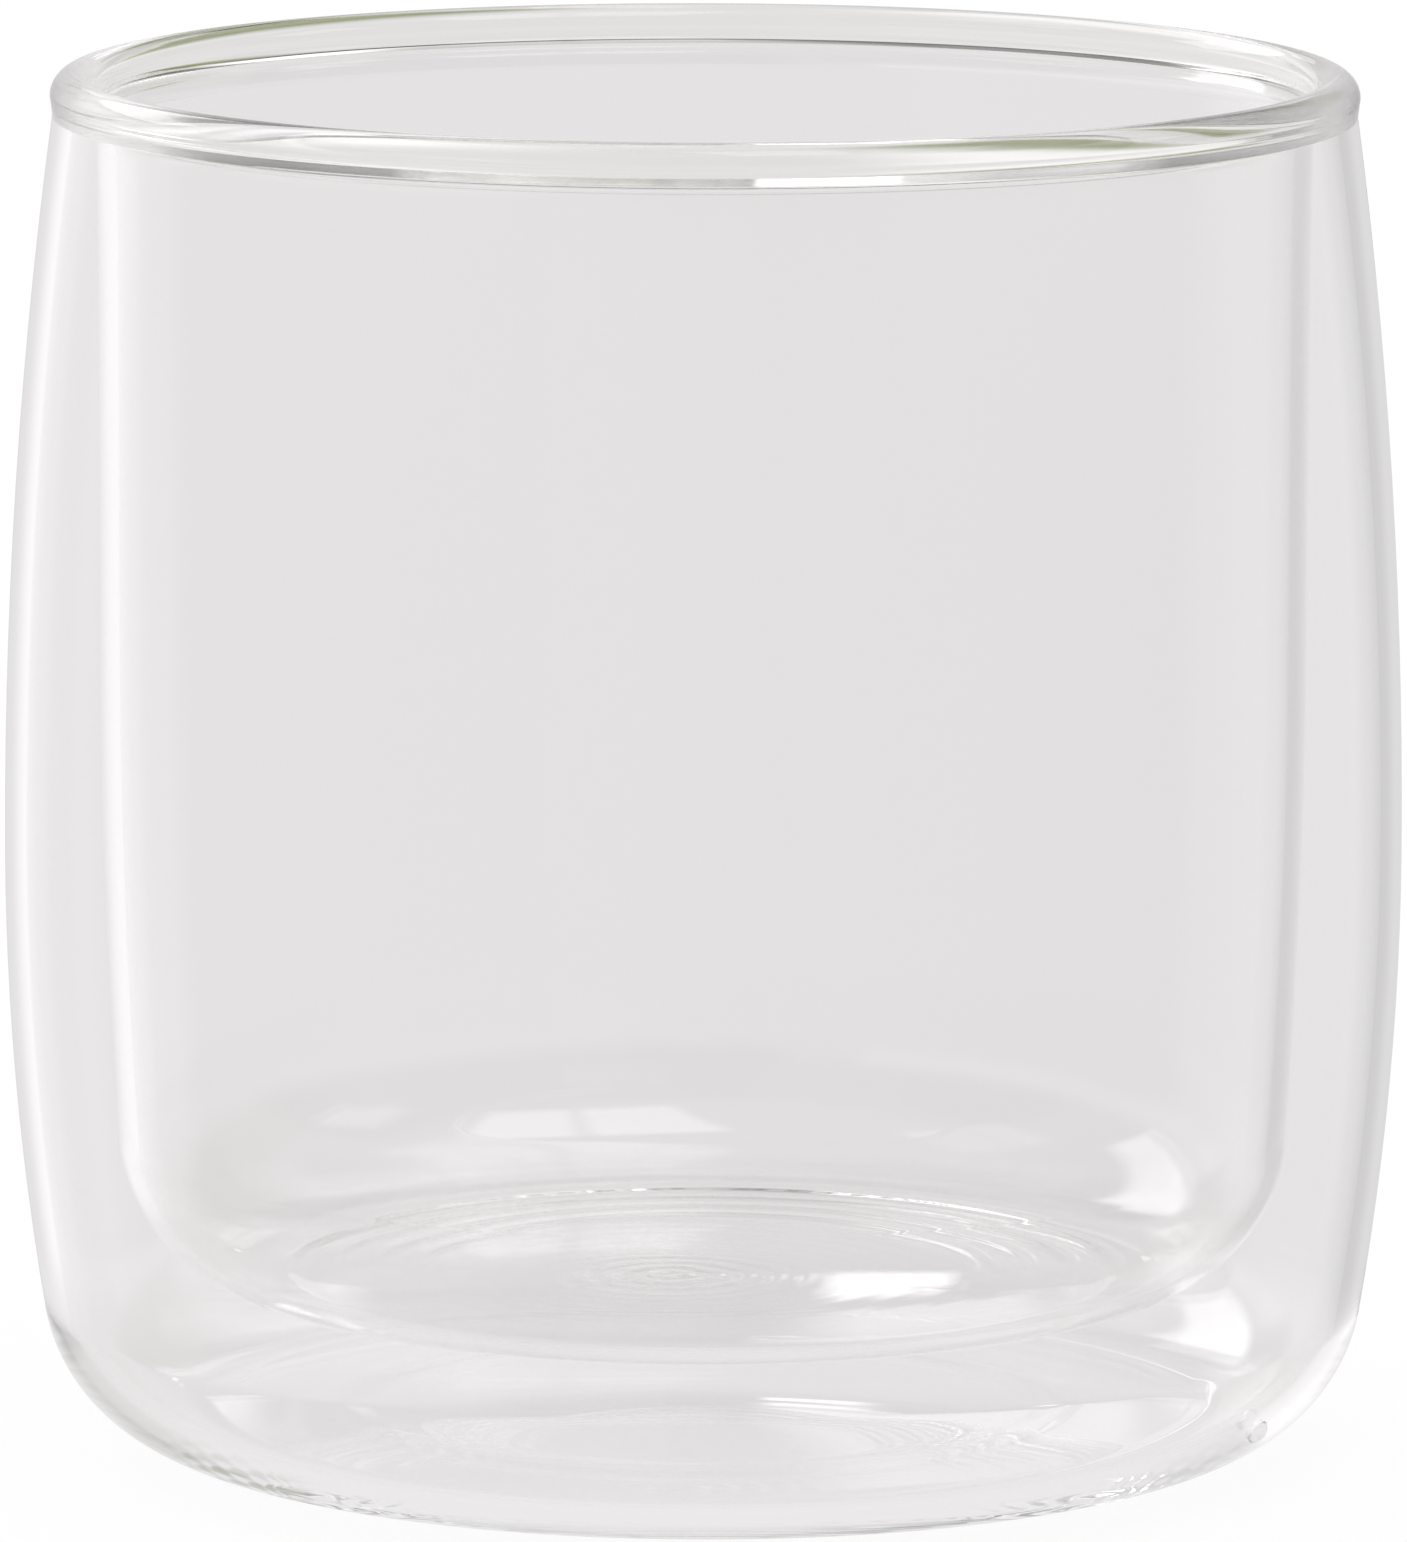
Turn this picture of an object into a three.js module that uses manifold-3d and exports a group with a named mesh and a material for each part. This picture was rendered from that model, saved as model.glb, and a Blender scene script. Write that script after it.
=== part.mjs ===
// Double-walled glass tumbler, in millimetres, +Z up, standing on z = 0.
// A clear inner cup hangs inside a barrel-shaped outer shell. A rounded ring of glass joins the two mouths,
// and a drop of glass seals the vent hole in the shell's heel.
import * as THREE from 'three';
import { mergeVertices } from 'three/addons/utils/BufferGeometryUtils.js';
import Module from 'manifold-3d';

// Outer shell
const totalHeight = 85;
const mouthRadius = 39.9; // outside, just under the rim ring
const bellySwell = 3.1; // how far the belly stands out past the mouth
const bellyHeight = 37; // height of the widest place
const sideRadius = 175; // curve of the side below the belly, seen in elevation
const heelRadius = 10.2; // rounded corner between side and base
const footWidth = 8.6; // flat ring that the tumbler stands on
const puntDepth = 0.8; // hollow pushed up inside that ring
const shellWall = 1.3;
const baseThickness = 1.6;

// Inner cup
const mouthGap = 1.4; // air gap between the straight walls at the mouth
const floorGap = 7.5; // air gap between the two floors, at the axis
const cupWall = 1.25;
const cupFloor = 0.9;
const cupStraight = 31.7; // length of straight wall below the flare
const cupSideRadius = 450; // curve of the cup's side below the straight wall
const cupHeelRadius = 10.2;
const flareRadius = 1.4; // curve of the cup's mouth as it turns out to the shell

// Rim ring
const beadRadius = 1.45; // roundness of the lip
const beadNeck = 1.15; // height of the ring below the round of the lip
const beadProud = 0.15; // how far the lip stands out past the shell
const rimGap = 0.35; // width of the air gap where the ring closes it

// Vent hole and its seal
const ventRadius = 1;
const drillLength = 9.6; // longer than the heel is thick
const ventSlope = THREE.MathUtils.degToRad(36); // below the horizontal, round the heel
const ventTurn = THREE.MathUtils.degToRad(-30); // round the axis from +X
const sealGap = 0.3; // clearance between the drop and the shell
const dropLap = 0.4; // how far the drop covers the edge of the hole
const dropHeight = 0.6;

// Fineness of the turned surfaces
const turnSteps = 48;
const curveSteps = 4;
const heelSteps = 6;
const beadSteps = 10;
const ventSteps = 16;
const mergeDistance = 1e-4;

// Places that follow from the sizes
const bellyRadius = mouthRadius + bellySwell;
const seamHeight = totalHeight - beadRadius - beadNeck;
const mouthRise = seamHeight - bellyHeight;
const upperRadius = (bellySwell ** 2 + mouthRise ** 2) / (2 * bellySwell);
const upperCentre = bellyRadius - upperRadius;
const mouthBore = upperCentre + Math.sqrt((upperRadius - shellWall) ** 2 - mouthRise ** 2);
const cupRadius = mouthBore - mouthGap;
const cupEdge = mouthBore - rimGap;
const flareAngle = Math.acos(1 - (cupEdge - cupRadius) / flareRadius);
const flareStart = seamHeight - flareRadius * Math.sin(flareAngle);
const cupUnderside = baseThickness + puntDepth + floorGap;

function arc(centre, height, radius, from, to, steps) {
  return new THREE.EllipseCurve(centre, height, radius, radius, from, to, to < from).getPoints(steps);
}

// Radius at which a heel's round has its centre, for a heel that runs smoothly into the side and the floor
function heelCentre(side, heel, floorHeight) {
  const reach = side.radius - heel;
  const drop = side.height - floorHeight - heel;
  return side.centre + Math.sqrt(reach ** 2 - drop ** 2);
}

// Outline from the floor, round the heel and up the curved side to its widest place
function heelAndSide(side, heel, floorHeight) {
  const centre = heelCentre(side, heel, floorHeight);
  const height = floorHeight + heel;
  const join = Math.atan2(height - side.height, centre - side.centre);
  return [
    ...arc(centre, height, heel, -Math.PI / 2, join, heelSteps),
    ...arc(side.centre, side.height, side.radius, join, 0, curveSteps),
  ];
}

// Side curves, set in from the outside by the thickness of the wall
function shellSide(inset) {
  return { centre: bellyRadius - sideRadius, height: bellyHeight, radius: sideRadius - inset };
}

function cupSide(inset) {
  return { centre: cupRadius - cupSideRadius, height: flareStart - cupStraight, radius: cupSideRadius - inset };
}

const footOuter = heelCentre(shellSide(0), heelRadius, 0);
const footInner = footOuter - footWidth;

// Smooth hollow from the axis out to the foot ring, above a floor at the given height
function puntOutline(floorHeight) {
  const points = [];
  for (let step = 0; step <= curveSteps; step += 1) {
    const share = step / curveSteps;
    const rise = puntDepth * (1 + Math.cos(Math.PI * share)) / 2;
    points.push(new THREE.Vector2(footInner * share, floorHeight + rise));
  }
  return points;
}

function shellOutline(inset, floorHeight) {
  const mouthAngle = Math.asin(mouthRise / (upperRadius - inset));
  return [
    ...puntOutline(floorHeight),
    ...heelAndSide(shellSide(inset), heelRadius - inset, floorHeight),
    ...arc(upperCentre, bellyHeight, upperRadius - inset, 0, mouthAngle, curveSteps),
  ];
}

function cupOutline(inset, floorHeight) {
  const radius = flareRadius + inset;
  const turn = Math.asin((seamHeight - flareStart) / radius);
  return [
    new THREE.Vector2(0, floorHeight),
    ...heelAndSide(cupSide(inset), cupHeelRadius - inset, floorHeight),
    ...arc(cupRadius + flareRadius, flareStart, radius, Math.PI, Math.PI - turn, curveSteps),
  ];
}

// Position-only geometry with its seam and poles closed
function closed(geometry) {
  geometry.deleteAttribute('normal');
  geometry.deleteAttribute('uv');
  const merged = mergeVertices(geometry, mergeDistance);
  const corners = merged.index.array;
  const kept = [];
  for (let first = 0; first < corners.length; first += 3) {
    const triangle = corners.slice(first, first + 3);
    if (new Set(triangle).size === 3) {
      kept.push(...triangle);
    }
  }
  merged.setIndex(kept);
  return merged;
}

// Profile turned about the Z axis
function turned(profile) {
  return closed(new THREE.LatheGeometry(profile, turnSteps).rotateX(Math.PI / 2));
}

const wasm = await Module();
wasm.setup();

function solid(geometry) {
  return new wasm.Manifold(new wasm.Mesh({
    numProp: 3,
    vertProperties: new Float32Array(geometry.attributes.position.array),
    triVerts: new Uint32Array(geometry.index.array),
  }));
}

function cut(geometry, tool) {
  const mesh = solid(geometry).subtract(solid(tool)).getMesh();
  const result = new THREE.BufferGeometry();
  result.setAttribute('position', new THREE.BufferAttribute(mesh.vertProperties, 3));
  result.setIndex(new THREE.BufferAttribute(mesh.triVerts, 1));
  return result;
}

function glass(colour, opacity) {
  return new THREE.MeshStandardMaterial({ color: colour, roughness: 0.05, metalness: 0, transparent: true, opacity });
}

function piece(name, geometry, material) {
  geometry.computeVertexNormals();
  const mesh = new THREE.Mesh(geometry, material);
  mesh.name = name;
  return mesh;
}

// Where the vent goes through the heel, and the way out through it
const ventOutward = new THREE.Vector3(Math.cos(ventSlope), 0, -Math.sin(ventSlope));
const ventPlace = new THREE.Object3D();
ventPlace.position.set(footOuter, 0, heelRadius).addScaledVector(ventOutward, heelRadius);
ventPlace.quaternion.setFromUnitVectors(new THREE.Vector3(0, 1, 0), ventOutward);
const ventTurntable = new THREE.Group();
ventTurntable.rotation.z = ventTurn;
ventTurntable.add(ventPlace);
ventTurntable.updateMatrixWorld(true);

function outerShell() {
  const outside = shellOutline(0, 0);
  const inside = shellOutline(shellWall, baseThickness).reverse();
  const drill = closed(new THREE.CylinderGeometry(ventRadius, ventRadius, drillLength, ventSteps));
  drill.applyMatrix4(ventPlace.matrixWorld);
  return piece('outer_shell', cut(turned([...outside, ...inside]), drill), glass(0xe4e3e4, 0.3));
}

function innerCup() {
  const outside = cupOutline(0, cupUnderside);
  const inside = cupOutline(cupWall, cupUnderside + cupFloor).reverse();
  return piece('inner_cup', turned([...outside, ...inside]), glass(0xe3e1e2, 0.3));
}

// The ring stands on the shell's mouth and the cup's mouth, both flat at the seam
function rimRing() {
  const seamInner = cupOutline(cupWall, cupUnderside + cupFloor).at(-1);
  const seamOuter = new THREE.Vector2(mouthRadius, seamHeight);
  const beadHeight = seamHeight + beadNeck;
  const beadCentre = mouthRadius + beadProud - beadRadius;
  const lipInner = new THREE.Vector2(beadCentre - beadRadius, beadHeight);
  const neckBend = new THREE.Vector2(lipInner.x, beadHeight - beadNeck / 2);
  const profile = [
    seamOuter,
    ...arc(beadCentre, beadHeight, beadRadius, 0, Math.PI, beadSteps),
    ...new THREE.QuadraticBezierCurve(lipInner, neckBend, seamInner).getPoints(curveSteps),
    seamOuter,
  ];
  return piece('rim_ring', turned(profile), glass(0xdfe5d6, 0.4));
}

// A stem in the vent hole under a low round head that covers the hole's edge
function ventSeal() {
  const stemRadius = ventRadius - sealGap;
  const headRadius = ventRadius + dropLap;
  const head = new THREE.EllipseCurve(0, sealGap, headRadius, dropHeight, 0, Math.PI / 2);
  const profile = [
    ...arc(0, -baseThickness, stemRadius, -Math.PI / 2, 0, curveSteps),
    new THREE.Vector2(stemRadius, sealGap),
    ...head.getPoints(curveSteps),
  ];
  const seal = piece('vent_seal', closed(new THREE.LatheGeometry(profile, ventSteps)), glass(0xf2f2f0, 0.5));
  ventPlace.add(seal);
  return ventTurntable;
}

const tumbler = new THREE.Group();
tumbler.add(innerCup(), outerShell(), rimRing(), ventSeal());

export default tumbler;
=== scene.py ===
import math

import bpy
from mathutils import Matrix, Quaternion, Vector


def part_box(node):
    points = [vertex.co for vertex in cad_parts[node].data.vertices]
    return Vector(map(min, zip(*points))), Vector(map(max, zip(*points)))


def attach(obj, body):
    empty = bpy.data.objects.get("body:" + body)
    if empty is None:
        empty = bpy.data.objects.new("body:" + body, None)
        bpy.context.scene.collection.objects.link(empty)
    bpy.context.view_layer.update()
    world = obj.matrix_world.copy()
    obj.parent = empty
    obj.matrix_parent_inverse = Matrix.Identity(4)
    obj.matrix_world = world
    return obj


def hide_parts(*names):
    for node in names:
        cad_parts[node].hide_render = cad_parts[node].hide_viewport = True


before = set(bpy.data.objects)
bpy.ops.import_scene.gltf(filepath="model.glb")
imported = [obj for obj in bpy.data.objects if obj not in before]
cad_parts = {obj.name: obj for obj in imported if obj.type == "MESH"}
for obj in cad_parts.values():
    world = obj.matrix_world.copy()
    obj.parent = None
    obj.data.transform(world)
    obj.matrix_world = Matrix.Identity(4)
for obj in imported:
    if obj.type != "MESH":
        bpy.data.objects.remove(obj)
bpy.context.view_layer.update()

bl_info = {
    "name": "Double-walled tumbler",
    "version": (1, 0, 0),
    "blender": (4, 5, 0),
    "location": "View3D > Sidebar > Tumbler",
    "description": "Models a clear double-walled glass tumbler and the studio that it stands in",
    "category": "Object",
}

BODY = "root"
MM = 0.001
ORIGIN = Vector((0, 0, 0))
RIGHT = Vector((1, 0, 0))
UP = Vector((0, 0, 1))

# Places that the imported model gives
SHELL_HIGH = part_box("outer_shell")[1]
CUP_LOW, CUP_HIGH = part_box("inner_cup")
RING_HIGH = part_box("rim_ring")[1]
SEAM = SHELL_HIGH.z

# Steps round the axis
TURN_STEPS = 288
SHELL_STEPS = 480
DROP_STEPS = 48

# Steps along the outlines
HEEL_STEPS = 40
SIDE_STEPS = 12
UPPER_SIDE_STEPS = 14
STRAIGHT_STEPS = 6
FLARE_STEPS = 14
BEAD_STEPS = 40
NECK_STEPS = 12
DROP_BACK_STEPS = 6
DROP_ROUND_STEPS = 16
BASE_UNDER_STEPS = 20
BASE_INSIDE_STEPS = 44
FLOOR_UNDER_STEPS = 12
FLOOR_INSIDE_STEPS = 108

# Limits used while modelling
MERGE_DISTANCE = 0.001 * MM
SMOOTH_ANGLE = math.radians(40)
SEAM_DEPTH = 0.01 * MM
LEVEL_NORMAL = 0.99
DROP_LIFT = 0.02

# Ridges on the cup's floor, from the outermost inwards, and how they fade in towards the far side
RIDGE_SHARES = (1, 0.5, 0.4, 0.3)
FAR_START = 0.25
FAR_BLEND = 0.6
RIPPLE_LEAST = 0.03

# Waves of the blown glass
WAVE_SCALE = 55
WAVE_STRENGTH = 0.15
WAVE_HEIGHT = 0.02 * MM

# Floor, card and camera
GLASS_BOUNCES = 1024
PALE = (1, 0.983, 0.99, 1)
CARD_RADIUS = 70 * MM
CARD_CORE = 45 * MM
CARD_PLACE = (-5 * MM, 8 * MM, -0.2 * MM)
CARD_STEPS = 96
CARD_GLOW = 0.84
FLOOR_SIZE = 6
FLOOR_PLACE = (0, 0, -0.3 * MM)
FLOOR_COLOUR = (0.95, 0.95, 0.95, 1)
FLOOR_GLOW = 1.05
FLOOR_GLOW_SHARE = 0.9
SENSOR_WIDTH = 36
VIEW_END = 20

# Room seen in the glass: the angles of each softbox, then its step in brightness
LOW_LEVEL = 0.785
LOW_SHADES = (
    ((-140, 21, -40, 12, 7), 0.27),
    ((153, 9, -40, 12, 5), -0.16),
)
REFLECTED_LEVEL = 0.72
REFLECTED_SLOPE = -0.2
WALL_LEVEL = 0.6
WALL_START = math.radians(6)
WALL_FULL = math.radians(14)
WALL_SHADES = (
    ((45, 62, 6, 52, 8), -0.48),
    ((-55, 34, 22, 52, 8), -0.3),
    ((-92, 58, 5, 20, 4), 0.7),
    ((-160, 14, 36, 64, 6), -0.35),
    ((172, 9, 25, 37, 3), -0.45),
    ((-172, 9, 25, 37, 3), -0.45),
)
LAMPS = (
    ((-72, 34, -70, -20, 8), 0.3),
    ((-141, 23, 22, 35, 1.5), 2.2),
    ((178.3, 0.62, 11.25, 12.05, 0.2), 1.2),
    ((157, 10, 36, 52, 4), 0.6),
    ((-160, 14, -48, -26, 5), 0.3),
    ((170, 7, -25, -15, 2), 0.25),
)
GREENERY = (145, 29, -50, -24, 4)
HEDGE = (135, 34, 12, 33, 4)
HEDGE_SHARE = 0.55
GREEN = (0.33, 0.37, 0.17, 1)

# Skylights in a ceiling one unit up: the numbers of each skylight, then its strength
SKYLIGHTS = (
    ((0.32, -0.26, 0.32, 0.24, 20), 1.7),
    ((1.46, 0.05, 0.36, 0.24, 26), 1.2),
    ((-0.73, 0.12, 0.26, 0.2, 0), 0.9),
    ((0.3, 3.6, 0.22, 0.85, 0), 0.5),
    ((-0.5, 3.6, 0.2, 0.85, 0), 0.6),
)
SKYLIGHT_EDGE = 0.04
BAR_REACH = 0.05
BAR_LEVEL = 0.4
CEILING_START = 0.15
CEILING_FULL = 0.25
LEAST_RISE = 0.1


def length(name, description, millimetres):
    """A size in metres with its label."""
    return bpy.props.FloatProperty(
        name=name, description=description, default=millimetres * MM, min=0, unit="LENGTH", precision=5
    )


def level(name, description, default):
    """A plain number with its label."""
    return bpy.props.FloatProperty(name=name, description=description, default=default, min=0, precision=4)


def colour(name, description, default):
    """A colour with its label."""
    return bpy.props.FloatVectorProperty(
        name=name, description=description, default=default, size=3, min=0, max=1, subtype="COLOR"
    )


class TumblerSizes(bpy.types.PropertyGroup):
    """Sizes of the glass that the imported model's boxes don't give"""

    mouth_radius: length("Mouth radius", "Outside of the shell just under the rim ring", 39.9)
    belly_height: length("Belly height", "Height of the widest place", 37)
    side_radius: length("Side curve", "Curve of the shell's side below the belly", 175)
    heel_radius: length("Heel radius", "Rounded corner between side and base", 10.2)
    foot_width: length("Foot width", "Flat ring that the tumbler stands on", 8.6)
    punt_depth: length("Punt depth", "Hollow pushed up inside the foot ring", 0.8)
    shell_wall: length("Shell wall", "Thickness of the outer wall", 1.3)
    base_thickness: length("Base thickness", "Thickness of the outer base", 1.6)
    cup_wall: length("Cup wall", "Thickness of the inner wall", 1.25)
    cup_floor: length("Cup floor", "Thickness of the inner floor", 0.9)
    cup_straight: length("Straight wall", "Straight wall of the cup below its flare", 31.7)
    cup_side_radius: length("Cup side curve", "Curve of the cup's side below the straight wall", 450)
    cup_heel_radius: length("Cup heel radius", "Rounded corner of the cup", 10.2)
    mouth_gap: length("Mouth gap", "Air gap between the straight walls at the mouth", 1.4)
    rim_gap: length("Rim gap", "Air gap where the ring closes it", 0.35)
    flare_radius: length("Flare radius", "Curve of the cup's mouth as it turns out", 1.4)
    bead_radius: length("Bead radius", "Roundness of the lip", 1.45)
    ridge_height: length("Ridge height", "Highest of the low ridges on the cup's floor", 0.1)
    ridge_width: length("Ridge width", "Half width of such a ridge", 0.6)
    cup_ridge: length("Cup ridge", "Radius of the outermost ridge on the cup's floor", 25.6)
    ridge_pitch: length("Ridge pitch", "Distance from one ridge on the cup's floor to the next", 2.7)
    base_ridge: length("Base ridge", "Radius of the ridge on the shell's base", 22.5)
    base_ridge_height: length("Base ridge height", "Height of the ridge on the shell's base", 0.045)
    base_ridge_width: length("Base ridge width", "Half width of the ridge on the shell's base", 1)
    ripple_height: length("Ripple height", "Height of the fine ripples on the cup's floor", 0.04)
    ripple_pitch: length("Ripple pitch", "Distance from one fine ripple to the next", 1.9)
    ripple_left: length("Ripple left", "How far the ripples' centre lies left of the axis", 2)
    ripple_near: length("Ripple near", "How far the ripples' centre lies in front of the axis", 3)
    ripple_reach: length("Ripple reach", "Radius at which the ripples have almost died away", 9.6)
    drop_radius: length("Drop radius", "Radius of the drop that seals the vent", 0.8)
    drop_height: length("Drop height", "Height of that drop", 0.6)
    drop_slope: bpy.props.FloatProperty(
        name="Drop slope", description="Place of the drop round the heel, below the horizontal",
        default=math.radians(36), subtype="ANGLE"
    )
    drop_turn: bpy.props.FloatProperty(
        name="Drop turn", description="Place of the drop round the axis, from the right",
        default=math.radians(-30), subtype="ANGLE"
    )


class TumblerStudio(bpy.types.PropertyGroup):
    """The studio around the tumbler"""

    camera_distance: length("Camera distance", "From the axis to the camera, along the floor", 900)
    camera_height: length("Camera height", "Camera above the floor", 184.6)
    aim_height: length("Aim height", "Height of the point that the camera looks at", 41.6)
    lens: bpy.props.FloatProperty(name="Lens", description="Focal length in millimetres", default=345.4)
    roll: bpy.props.FloatProperty(
        name="Roll", description="Tilt of the camera", default=0.0025, subtype="ANGLE"
    )


class TumblerGlass(bpy.types.PropertyGroup):
    """Finish of the glass"""

    ior: level("Refractive index", "Refractive index of borosilicate glass", 1.47)
    clear: colour("Clear glass", "Tint of the two walls", (0.995, 0.995, 0.993))
    rim: colour("Rim glass", "Tint of the thick rim ring", (0.99, 0.993, 0.978))
    drop: colour("Drop glass", "Tint of the melted drop", (0.998, 0.998, 0.998))


# Outlines of the turned pieces, as points of radius and height
def arc(centre, height, radius, start, end, steps):
    """Points on a round stretch of an outline."""
    points = []
    for step in range(steps + 1):
        angle = start + (end - start) * step / steps
        points.append((centre + radius * math.cos(angle), height + radius * math.sin(angle)))
    return points


def straight(first, last, steps):
    """Points on a straight stretch of an outline, without its last point."""
    points = []
    for step in range(steps):
        share = step / steps
        points.append(tuple(a + (b - a) * share for a, b in zip(first, last)))
    return points


def heel_centre(side, heel, floor):
    """Radius at which the round of a heel has its centre."""
    centre, height, radius = side
    return centre + math.sqrt((radius - heel) ** 2 - (height - floor - heel) ** 2)


def heel_and_side(side, heel, floor):
    """From the floor, round the heel and up the curved side to its widest place."""
    centre, height, radius = side
    middle = heel_centre(side, heel, floor)
    join = math.atan2(floor + heel - height, middle - centre)
    return [
        *arc(middle, floor + heel, heel, -math.pi / 2, join, HEEL_STEPS),
        *arc(centre, height, radius, join, 0, SIDE_STEPS)[1:],
    ]


def ridge(radius, place, height, width):
    """Height of a low round ridge at a radius."""
    return height * math.exp(-((radius - place) / width) ** 2)


def floor_form(sizes, x, y):
    """Height of the ridges on the far side of the cup's floor and of the ripples near its middle."""
    radius = math.hypot(x, y)
    far = min(max((y / max(radius, MM) + FAR_START) / FAR_BLEND, 0), 1)
    total = 0
    for step, share in enumerate(RIDGE_SHARES):
        place = sizes.cup_ridge - step * sizes.ridge_pitch
        total += far * share * ridge(radius, place, sizes.ridge_height, sizes.ridge_width)
    away = math.hypot(x + sizes.ripple_left, y + sizes.ripple_near)
    fade = max(1 - away / sizes.ripple_reach, RIPPLE_LEAST)
    wave = 0.5 - 0.5 * math.cos(2 * math.pi * away / sizes.ripple_pitch)
    return total + sizes.ripple_height * fade * wave


def shell_outline(sizes, inset, floor):
    """One face of the outer shell, from the axis up to the mouth."""
    belly = SHELL_HIGH.x
    swell = belly - sizes.mouth_radius
    rise = SEAM - sizes.belly_height
    upper = (swell ** 2 + rise ** 2) / (2 * swell)
    side = (belly - sizes.side_radius, sizes.belly_height, sizes.side_radius - inset)
    outer_side = (belly - sizes.side_radius, sizes.belly_height, sizes.side_radius)
    foot_outer = heel_centre(outer_side, sizes.heel_radius, 0)
    foot_inner = foot_outer - sizes.foot_width
    heel = heel_and_side(side, sizes.heel_radius - inset, floor)
    base = []
    steps = BASE_INSIDE_STEPS if inset else BASE_UNDER_STEPS
    for radius, height in straight((0, floor), heel[0], steps):
        share = min(radius / foot_inner, 1)
        punt = sizes.punt_depth * (1 + math.cos(math.pi * share)) / 2
        raised = 0
        if inset:
            raised = ridge(radius, sizes.base_ridge, sizes.base_ridge_height, sizes.base_ridge_width)
        base.append((radius, height + punt + raised))
    mouth_angle = math.asin(rise / (upper - inset))
    return [
        *base,
        *heel,
        *arc(belly - upper, sizes.belly_height, upper - inset, 0, mouth_angle, UPPER_SIDE_STEPS)[1:],
    ]


def cup_outline(sizes, inset, floor):
    """One face of the inner cup, from the axis up to the flared mouth."""
    edge = CUP_HIGH.x
    radius = edge + sizes.rim_gap - sizes.mouth_gap
    turn = math.acos(1 - (edge - radius) / sizes.flare_radius)
    flare_start = SEAM - sizes.flare_radius * math.sin(turn)
    side_height = flare_start - sizes.cup_straight
    side = (radius - sizes.cup_side_radius, side_height, sizes.cup_side_radius - inset)
    heel = heel_and_side(side, sizes.cup_heel_radius - inset, floor)
    bend = sizes.flare_radius + inset
    end = math.pi - math.asin((SEAM - flare_start) / bend)
    flare = arc(radius + sizes.flare_radius, flare_start, bend, math.pi, end, FLARE_STEPS)
    steps = FLOOR_INSIDE_STEPS if inset else FLOOR_UNDER_STEPS
    base = [*straight((0, floor), heel[0], steps), *heel]
    return [
        *base,
        *straight(base[-1], flare[0], STRAIGHT_STEPS)[1:],
        *flare,
    ]


def ring_outline(sizes):
    """The rim ring, from the outside of the seam over the lip to the inside of the seam and back."""
    seam_inner = cup_outline(sizes, sizes.cup_wall, CUP_LOW.z + sizes.cup_floor)[-1]
    seam_outer = (sizes.mouth_radius, SEAM)
    bead = sizes.bead_radius
    centre = RING_HIGH.x - bead
    height = RING_HIGH.z - bead
    lip_inner = (centre - bead, height)
    bend = (lip_inner[0], (height + SEAM) / 2)
    neck = []
    for step in range(1, NECK_STEPS + 1):
        share = step / NECK_STEPS
        keep = 1 - share
        neck.append(
            tuple(keep * keep * a + 2 * keep * share * b + share * share * c
                  for a, b, c in zip(lip_inner, bend, seam_inner))
        )
    return [
        *straight(seam_outer, (centre + bead, height), STRAIGHT_STEPS),
        *arc(centre, height, bead, 0, math.pi, BEAD_STEPS),
        *neck,
        (CUP_HIGH.x, SEAM),
        (CUP_HIGH.x + sizes.rim_gap, SEAM),
        seam_outer,
    ]


def drop_outline(sizes):
    """The drop over the vent, from the axis along its flat back and over its round face."""
    back = DROP_LIFT * sizes.drop_height
    points = straight((0, back), (sizes.drop_radius, back), DROP_BACK_STEPS)
    for step in range(DROP_ROUND_STEPS + 1):
        angle = math.pi / 2 * step / DROP_ROUND_STEPS
        points.append((sizes.drop_radius * math.cos(angle), sizes.drop_height * math.sin(angle)))
    return points


# Modelling by hand: an outline drawn by extruding one corner, then spun about the axis
def draw_outline(name, outline, place=ORIGIN, side=RIGHT, axis=UP):
    """Add a plane, melt it to one corner and extrude that corner along the outline."""
    points = [place + side * radius + axis * height for radius, height in outline]
    if bpy.context.object and bpy.context.object.mode != "OBJECT":
        bpy.ops.object.mode_set(mode="OBJECT")
    bpy.ops.object.select_all(action="DESELECT")
    bpy.ops.mesh.primitive_plane_add(size=MM, location=(0, 0, 0))
    piece = bpy.context.object
    piece.name = name
    piece.data.name = name
    bpy.ops.object.mode_set(mode="EDIT")
    bpy.ops.mesh.select_all(action="SELECT")
    bpy.ops.mesh.merge(type="CENTER")
    bpy.ops.transform.translate(value=points[0])
    for last, point in zip(points, points[1:]):
        bpy.ops.mesh.extrude_region_move(TRANSFORM_OT_translate={"value": point - last})
    return piece


def spin_outline(steps, place=ORIGIN, axis=UP):
    """Spin the drawn outline into a closed solid with its faces outwards, and leave edit mode."""
    bpy.ops.mesh.select_all(action="SELECT")
    bpy.ops.mesh.spin(steps=steps, angle=2 * math.pi, center=place, axis=axis)
    bpy.ops.mesh.select_all(action="SELECT")
    bpy.ops.mesh.remove_doubles(threshold=MERGE_DISTANCE)
    bpy.ops.mesh.normals_make_consistent(inside=False)
    bpy.ops.object.mode_set(mode="OBJECT")
    bpy.ops.object.shade_smooth_by_angle(angle=SMOOTH_ANGLE)


def fuse_seam(piece, ranges):
    """Make the seam's flat faces clear within ranges of radius, as the glass is one there."""
    piece.data.materials.append(bpy.data.materials["Fused seam"])
    for face in piece.data.polygons:
        if abs(face.center.z - SEAM) > SEAM_DEPTH or abs(face.normal.z) < LEVEL_NORMAL:
            continue
        radius = face.center.xy.length
        if any(low < radius < high for low, high in ranges):
            face.material_index = 1


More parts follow.
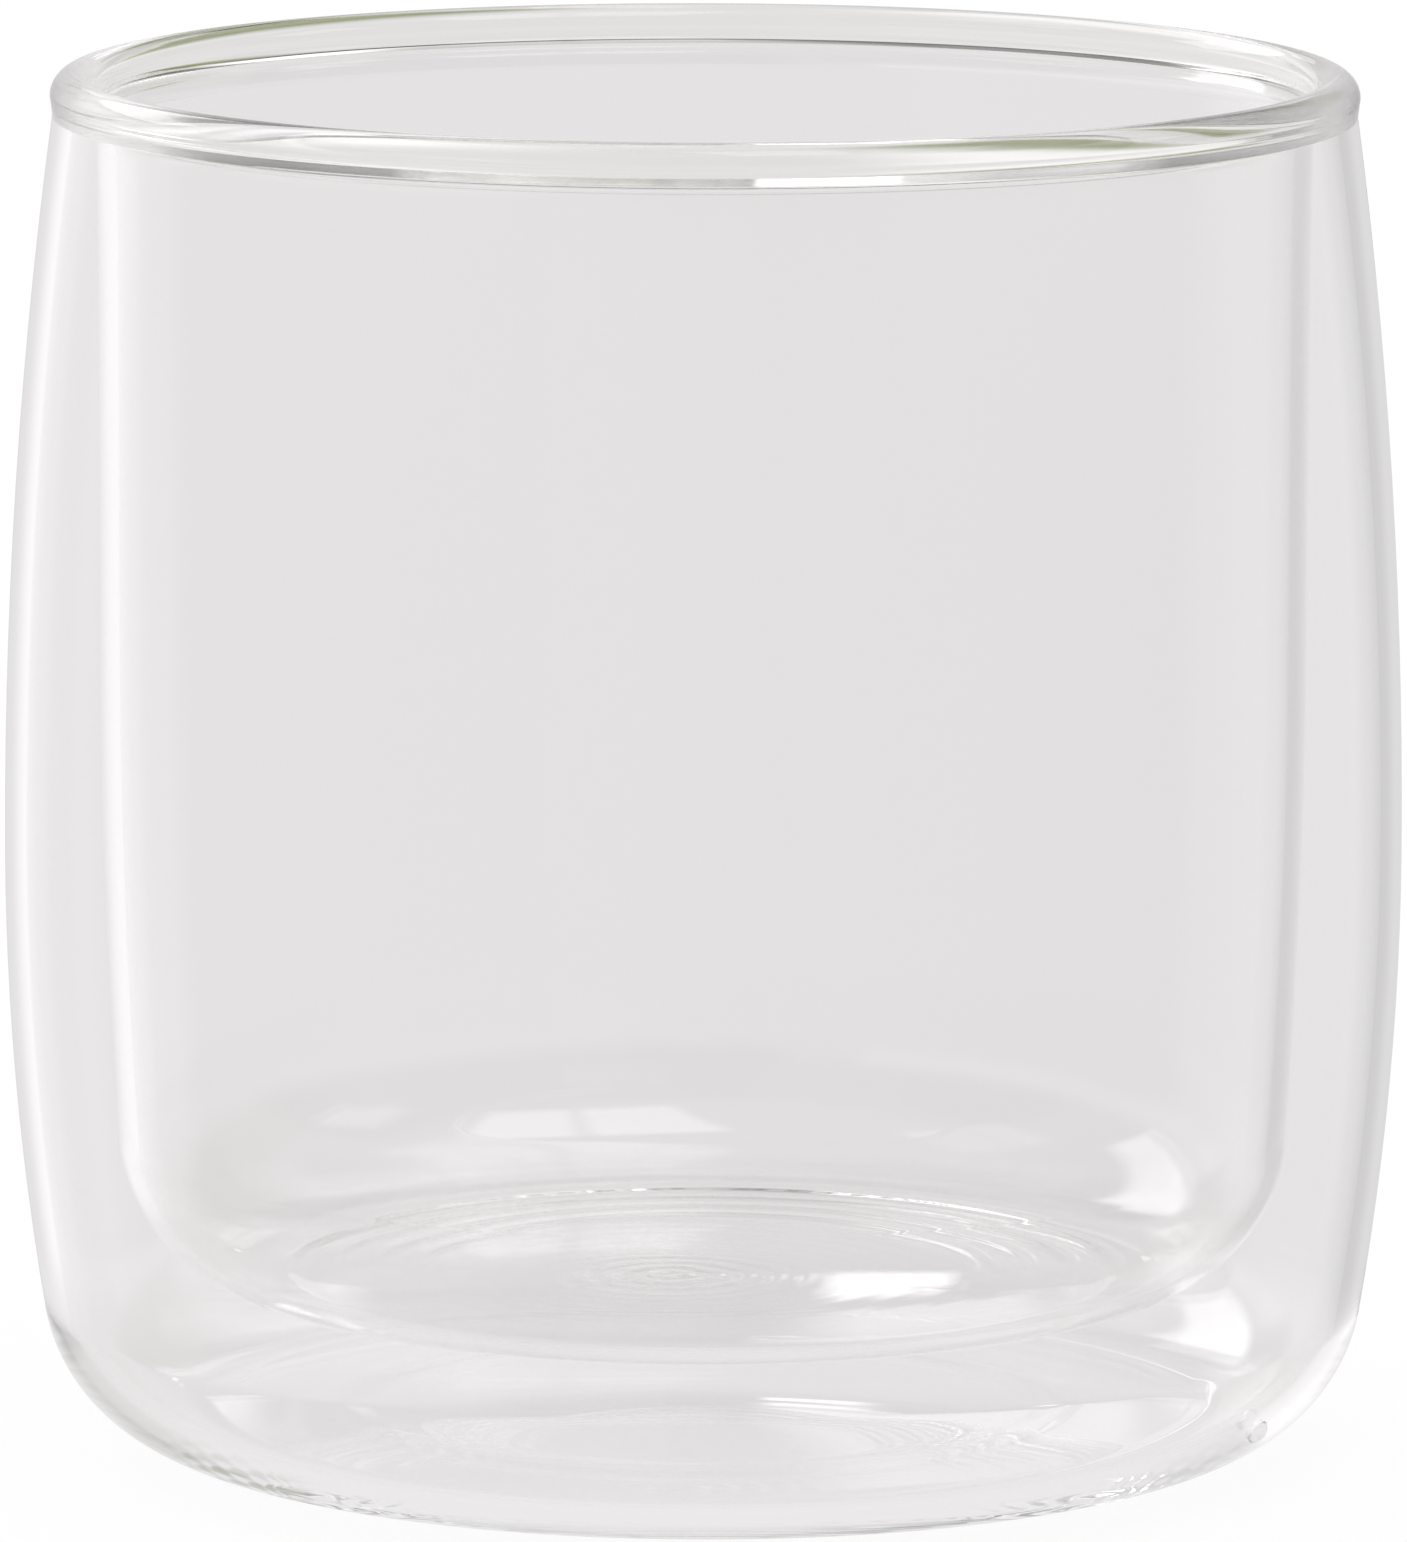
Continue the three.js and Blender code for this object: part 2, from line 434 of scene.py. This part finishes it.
def shape_floor(piece, sizes):
    """Raise the low ridges and the fine ripples on the floor of the cup."""
    floor = CUP_LOW.z + sizes.cup_floor
    limit = sizes.ridge_height + sizes.ripple_height
    group = piece.vertex_groups.new(name="Floor")
    for vertex in piece.data.vertices:
        if abs(vertex.co.z - floor) < MERGE_DISTANCE:
            group.add([vertex.index], floor_form(sizes, vertex.co.x, vertex.co.y) / limit, "REPLACE")
    raised = piece.modifiers.new("Floor", "DISPLACE")
    raised.vertex_group = group.name
    raised.direction = "Z"
    raised.mid_level = 0
    raised.strength = limit
    bpy.ops.object.modifier_apply(modifier=raised.name)
    piece.vertex_groups.clear()


def dress(piece, node, material):
    """Give a finished piece its place in the frame and its glass."""
    piece.data.materials.clear()
    piece.data.materials.append(material)
    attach(piece, BODY)
    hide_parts(node)


def glass_material(name, tint, settings):
    """Clear glass with the faint waves of a blown wall."""
    material = bpy.data.materials.new(name)
    material.use_nodes = True
    nodes = material.node_tree.nodes
    shader = nodes["Principled BSDF"]
    shader.inputs["Base Color"].default_value = (*tint, 1)
    shader.inputs["Roughness"].default_value = 0.0
    shader.inputs["IOR"].default_value = settings.ior
    shader.inputs["Transmission Weight"].default_value = 1
    links = material.node_tree.links
    coords = nodes.new("ShaderNodeTexCoord")
    waves = nodes.new("ShaderNodeTexNoise")
    waves.inputs["Scale"].default_value = WAVE_SCALE
    waves.inputs["Detail"].default_value = 0
    bump = nodes.new("ShaderNodeBump")
    bump.inputs["Strength"].default_value = WAVE_STRENGTH
    bump.inputs["Distance"].default_value = WAVE_HEIGHT
    links.new(coords.outputs["Object"], waves.inputs["Vector"])
    links.new(waves.outputs["Fac"], bump.inputs["Height"])
    links.new(bump.outputs["Normal"], shader.inputs["Normal"])
    return material


def seam_material():
    """Nothing to see: inside fused glass there is no surface."""
    material = bpy.data.materials.new("Fused seam")
    material.use_nodes = True
    nodes = material.node_tree.nodes
    nodes.clear()
    clear = nodes.new("ShaderNodeBsdfTransparent")
    out = nodes.new("ShaderNodeOutputMaterial")
    material.node_tree.links.new(clear.outputs[0], out.inputs["Surface"])


class TUMBLER_OT_inner_cup(bpy.types.Operator):
    """Spin the inner cup"""

    bl_idname = "tumbler.inner_cup"
    bl_label = "Inner cup"

    def execute(self, context):
        sizes = context.scene.tumbler_sizes
        glass = context.scene.tumbler_glass
        outside = cup_outline(sizes, 0, CUP_LOW.z)
        inside = cup_outline(sizes, sizes.cup_wall, CUP_LOW.z + sizes.cup_floor)
        piece = draw_outline("inner_cup_glass", [*outside, *reversed(inside)])
        spin_outline(TURN_STEPS)
        shape_floor(piece, sizes)
        dress(piece, "inner_cup", glass_material("Cup glass", glass.clear, glass))
        fuse_seam(piece, [(0, CUP_HIGH.x)])
        return {"FINISHED"}


class TUMBLER_OT_outer_shell(bpy.types.Operator):
    """Spin the outer shell"""

    bl_idname = "tumbler.outer_shell"
    bl_label = "Outer shell"

    def execute(self, context):
        sizes = context.scene.tumbler_sizes
        glass = context.scene.tumbler_glass
        outside = shell_outline(sizes, 0, 0)
        inside = shell_outline(sizes, sizes.shell_wall, sizes.base_thickness)
        piece = draw_outline("outer_shell_glass", [*outside, *reversed(inside)])
        spin_outline(SHELL_STEPS)
        dress(piece, "outer_shell", glass_material("Outer wall glass", glass.clear, glass))
        fuse_seam(piece, [(0, SHELL_HIGH.x)])
        return {"FINISHED"}


class TUMBLER_OT_rim_ring(bpy.types.Operator):
    """Spin the rim ring"""

    bl_idname = "tumbler.rim_ring"
    bl_label = "Rim ring"

    def execute(self, context):
        sizes = context.scene.tumbler_sizes
        glass = context.scene.tumbler_glass
        piece = draw_outline("rim_ring_glass", ring_outline(sizes))
        spin_outline(TURN_STEPS)
        dress(piece, "rim_ring", glass_material("Rim glass", glass.rim, glass))
        gap_outside = CUP_HIGH.x + sizes.rim_gap
        fuse_seam(piece, [(0, CUP_HIGH.x), (gap_outside, SHELL_HIGH.x)])
        return {"FINISHED"}


class TUMBLER_OT_vent_seal(bpy.types.Operator):
    """Spin the drop that seals the vent"""

    bl_idname = "tumbler.vent_seal"
    bl_label = "Vent seal"

    def execute(self, context):
        sizes = context.scene.tumbler_sizes
        glass = context.scene.tumbler_glass
        belly = SHELL_HIGH.x
        heel = sizes.heel_radius
        foot = heel_centre((belly - sizes.side_radius, sizes.belly_height, sizes.side_radius), heel, 0)
        turn = Quaternion(UP, sizes.drop_turn)
        axis = turn @ Vector((math.cos(sizes.drop_slope), 0, -math.sin(sizes.drop_slope)))
        side = turn @ Vector((math.sin(sizes.drop_slope), 0, math.cos(sizes.drop_slope)))
        place = turn @ Vector((foot, 0, heel)) + axis * heel
        piece = draw_outline("vent_seal_glass", drop_outline(sizes), place, side, axis)
        spin_outline(DROP_STEPS, place, axis)
        dress(piece, "vent_seal", glass_material("Drop glass", glass.drop, glass))
        return {"FINISHED"}


def studio_world(scene):
    """White to the camera, a pale room with soft lights to the glass."""
    world = bpy.data.worlds.new("Studio")
    scene.world = world
    world.use_nodes = True
    tree = world.node_tree
    tree.nodes.clear()
    out = tree.nodes.new("ShaderNodeOutputWorld")
    background = tree.nodes.new("ShaderNodeBackground")
    tree.links.new(background.outputs[0], out.inputs[0])
    path = tree.nodes.new("ShaderNodeLightPath")
    coords = tree.nodes.new("ShaderNodeTexCoord")
    split = tree.nodes.new("ShaderNodeSeparateXYZ")
    tree.links.new(coords.outputs["Generated"], split.inputs[0])

    def math_node(operation, *values):
        """Output of a math node whose inputs are numbers or sockets."""
        node = tree.nodes.new("ShaderNodeMath")
        node.operation = operation
        for socket, value in zip(node.inputs, values):
            if isinstance(value, (int, float)):
                socket.default_value = value
            else:
                tree.links.new(value, socket)
        return node.outputs[0]

    def smooth(value, low, high, start, end):
        """Smooth step from start to end between low and high."""
        node = tree.nodes.new("ShaderNodeMapRange")
        node.interpolation_type = "SMOOTHSTEP"
        tree.links.new(value, node.inputs["Value"])
        for key, number in (("From Min", low), ("From Max", high), ("To Min", start), ("To Max", end)):
            node.inputs[key].default_value = number
        return node.outputs["Result"]

    x, y, z = split.outputs
    back = math_node("MULTIPLY", y, -1)
    azimuth = math_node("ARCTAN2", x, back)
    elevation = math_node("ARCSINE", z)
    height = math_node("MAXIMUM", z, LEAST_RISE)
    sky_x = math_node("DIVIDE", x, height)
    sky_y = math_node("DIVIDE", y, height)

    def softbox(centre, half, low, high, edge):
        """Soft patch between angles in degrees, round from the camera to the right and up."""
        centre, half, low, high, edge = (math.radians(v) for v in (centre, half, low, high, edge))
        aside = math_node("ABSOLUTE", math_node("SUBTRACT", azimuth, centre))
        across = smooth(aside, half - edge, half + edge, 1, 0)
        above = smooth(elevation, low - edge, low + edge, 0, 1)
        below = smooth(elevation, high - edge, high + edge, 1, 0)
        return math_node("MULTIPLY", math_node("MULTIPLY", across, above), below)

    def skylight(across, along, half_across, half_along, turn):
        """Soft window with a middle bar in the ceiling, its turn in degrees."""
        turn = math.radians(turn)
        right = math_node("SUBTRACT", sky_x, across)
        away = math_node("SUBTRACT", sky_y, along)
        first = math_node("ADD", math_node("MULTIPLY", right, math.cos(turn)),
                          math_node("MULTIPLY", away, math.sin(turn)))
        second = math_node("ADD", math_node("MULTIPLY", right, -math.sin(turn)),
                           math_node("MULTIPLY", away, math.cos(turn)))
        edge = SKYLIGHT_EDGE
        mask = math_node("MULTIPLY",
                         smooth(math_node("ABSOLUTE", first), half_across - edge, half_across + edge, 1, 0),
                         smooth(math_node("ABSOLUTE", second), half_along - edge, half_along + edge, 1, 0))
        bar = smooth(math_node("ABSOLUTE", first), 0, BAR_REACH, BAR_LEVEL, 1)
        above = smooth(z, CEILING_START, CEILING_FULL, 0, 1)
        return math_node("MULTIPLY", math_node("MULTIPLY", mask, bar), above)

    def shaded(value, mask, shades):
        """A brightness with each patch of a table added to it."""
        for numbers, step in shades:
            value = math_node("ADD", value, math_node("MULTIPLY", mask(*numbers), step))
        return value

    # Low surroundings: one brightness for light that comes through, another for reflections
    through = path.outputs["Is Transmission Ray"]
    seen = shaded(LOW_LEVEL, softbox, LOW_SHADES)
    reflected = math_node("ADD", math_node("MULTIPLY", x, REFLECTED_SLOPE), REFLECTED_LEVEL)
    low = math_node("ADD", math_node("MULTIPLY", through, seen),
                    math_node("MULTIPLY", math_node("SUBTRACT", 1, through), reflected))
    # Walls above, dark in front and behind, bright low on the left
    wall = shaded(WALL_LEVEL, softbox, WALL_SHADES)
    high_share = smooth(elevation, WALL_START, WALL_FULL, 0, 1)
    room = math_node("ADD", math_node("MULTIPLY", low, math_node("SUBTRACT", 1, high_share)),
                     math_node("MULTIPLY", high_share, wall))
    room = shaded(room, softbox, LAMPS)
    room = shaded(room, skylight, SKYLIGHTS)
    hedge = math_node("MULTIPLY", softbox(*HEDGE), HEDGE_SHARE)
    green = math_node("MAXIMUM", softbox(*GREENERY), hedge)
    camera = path.outputs["Is Camera Ray"]
    tint = tree.nodes.new("ShaderNodeVectorMath")
    tint.operation = "MULTIPLY_ADD"
    garden = tree.nodes.new("ShaderNodeMix")
    garden.data_type = "RGBA"
    garden.inputs["A"].default_value = PALE
    garden.inputs["B"].default_value = GREEN
    tree.links.new(green, garden.inputs["Factor"])
    tree.links.new(garden.outputs["Result"], tint.inputs[0])
    tree.links.new(math_node("MULTIPLY", math_node("SUBTRACT", 1, camera), room), tint.inputs[1])
    tree.links.new(camera, tint.inputs[2])
    tree.links.new(tint.outputs[0], background.inputs["Color"])
    background.inputs["Strength"].default_value = 1


def table_card():
    """A pale round card under the tumbler, soft at its edge, that only the glass sees."""
    bpy.ops.object.select_all(action="DESELECT")
    bpy.ops.mesh.primitive_circle_add(
        vertices=CARD_STEPS, radius=CARD_RADIUS, fill_type="NGON", location=CARD_PLACE
    )
    card = bpy.context.object
    card.name = "Table card"
    card.visible_camera = False
    card.visible_diffuse = False
    card.visible_shadow = False
    material = bpy.data.materials.new("Table card")
    material.use_nodes = True
    nodes = material.node_tree.nodes
    links = material.node_tree.links
    nodes.clear()
    out = nodes.new("ShaderNodeOutputMaterial")
    glow = nodes.new("ShaderNodeEmission")
    glow.inputs["Color"].default_value = PALE
    glow.inputs["Strength"].default_value = CARD_GLOW
    clear = nodes.new("ShaderNodeBsdfTransparent")
    mix = nodes.new("ShaderNodeMixShader")
    coords = nodes.new("ShaderNodeTexCoord")
    reach = nodes.new("ShaderNodeVectorMath")
    reach.operation = "LENGTH"
    fade = nodes.new("ShaderNodeMapRange")
    fade.interpolation_type = "SMOOTHSTEP"
    fade.inputs["From Min"].default_value = CARD_CORE
    fade.inputs["From Max"].default_value = CARD_RADIUS
    links.new(coords.outputs["Object"], reach.inputs[0])
    links.new(reach.outputs["Value"], fade.inputs["Value"])
    links.new(fade.outputs["Result"], mix.inputs["Fac"])
    links.new(glow.outputs[0], mix.inputs[1])
    links.new(clear.outputs[0], mix.inputs[2])
    links.new(mix.outputs[0], out.inputs["Surface"])
    card.data.materials.append(material)


def studio_floor():
    """A white sweep that keeps the tumbler's faint shadow and stays out of the glass."""
    bpy.ops.object.select_all(action="DESELECT")
    bpy.ops.mesh.primitive_plane_add(size=FLOOR_SIZE, location=FLOOR_PLACE)
    floor = bpy.context.object
    floor.name = "Floor"
    floor.visible_glossy = False
    floor.visible_transmission = False
    material = bpy.data.materials.new("White sweep")
    material.use_nodes = True
    nodes = material.node_tree.nodes
    nodes.clear()
    out = nodes.new("ShaderNodeOutputMaterial")
    mix = nodes.new("ShaderNodeMixShader")
    mix.inputs["Fac"].default_value = FLOOR_GLOW_SHARE
    diffuse = nodes.new("ShaderNodeBsdfDiffuse")
    diffuse.inputs["Color"].default_value = FLOOR_COLOUR
    glow = nodes.new("ShaderNodeEmission")
    glow.inputs["Strength"].default_value = FLOOR_GLOW
    links = material.node_tree.links
    links.new(diffuse.outputs[0], mix.inputs[1])
    links.new(glow.outputs[0], mix.inputs[2])
    links.new(mix.outputs[0], out.inputs["Surface"])
    floor.data.materials.append(material)


class TUMBLER_OT_stage(bpy.types.Operator):
    """Set the floor, the lights and the camera"""

    bl_idname = "tumbler.stage"
    bl_label = "Stage"

    def execute(self, context):
        scene = context.scene
        studio = scene.tumbler_studio
        scene.view_settings.view_transform = "Standard"
        seam_material()
        studio_world(scene)
        scene.cycles.max_bounces = GLASS_BOUNCES
        scene.cycles.glossy_bounces = GLASS_BOUNCES
        scene.cycles.transmission_bounces = GLASS_BOUNCES
        scene.cycles.transparent_max_bounces = GLASS_BOUNCES
        studio_floor()
        table_card()
        camera_data = bpy.data.cameras.new("Camera")
        camera = bpy.data.objects.new("Camera", camera_data)
        scene.collection.objects.link(camera)
        camera_data.sensor_width = SENSOR_WIDTH
        camera_data.lens = studio.lens
        camera_data.clip_end = VIEW_END
        camera.location = (0, -studio.camera_distance, studio.camera_height)
        aim = Vector((0, 0, studio.aim_height)) - camera.location
        turn = aim.to_track_quat("-Z", "Y") @ Quaternion(UP, studio.roll)
        camera.rotation_euler = turn.to_euler()
        scene.camera = camera
        return {"FINISHED"}


class TUMBLER_PT_panel(bpy.types.Panel):
    """Lists the tumbler's pieces and sizes"""

    bl_idname = "TUMBLER_PT_panel"
    bl_label = "Tumbler"
    bl_space_type = "VIEW_3D"
    bl_region_type = "UI"
    bl_category = "Tumbler"

    def draw(self, context):
        for name in OPERATORS:
            self.layout.operator(f"tumbler.{name}")
        for group, cls in GROUPS.items():
            settings = getattr(context.scene, group)
            for name in cls.__annotations__:
                self.layout.prop(settings, name)


OPERATORS = ("stage", "inner_cup", "outer_shell", "rim_ring", "vent_seal")
GROUPS = {"tumbler_sizes": TumblerSizes, "tumbler_studio": TumblerStudio, "tumbler_glass": TumblerGlass}
CLASSES = (
    TumblerSizes,
    TumblerStudio,
    TumblerGlass,
    TUMBLER_OT_stage,
    TUMBLER_OT_inner_cup,
    TUMBLER_OT_outer_shell,
    TUMBLER_OT_rim_ring,
    TUMBLER_OT_vent_seal,
    TUMBLER_PT_panel,
)


def register():
    for cls in CLASSES:
        bpy.utils.register_class(cls)
    for name, cls in GROUPS.items():
        setattr(bpy.types.Scene, name, bpy.props.PointerProperty(type=cls))


def unregister():
    for name in GROUPS:
        delattr(bpy.types.Scene, name)
    for cls in reversed(CLASSES):
        bpy.utils.unregister_class(cls)


def main():
    register()
    for name in OPERATORS:
        getattr(bpy.ops.tumbler, name)()


if __name__ == "__main__":
    main()
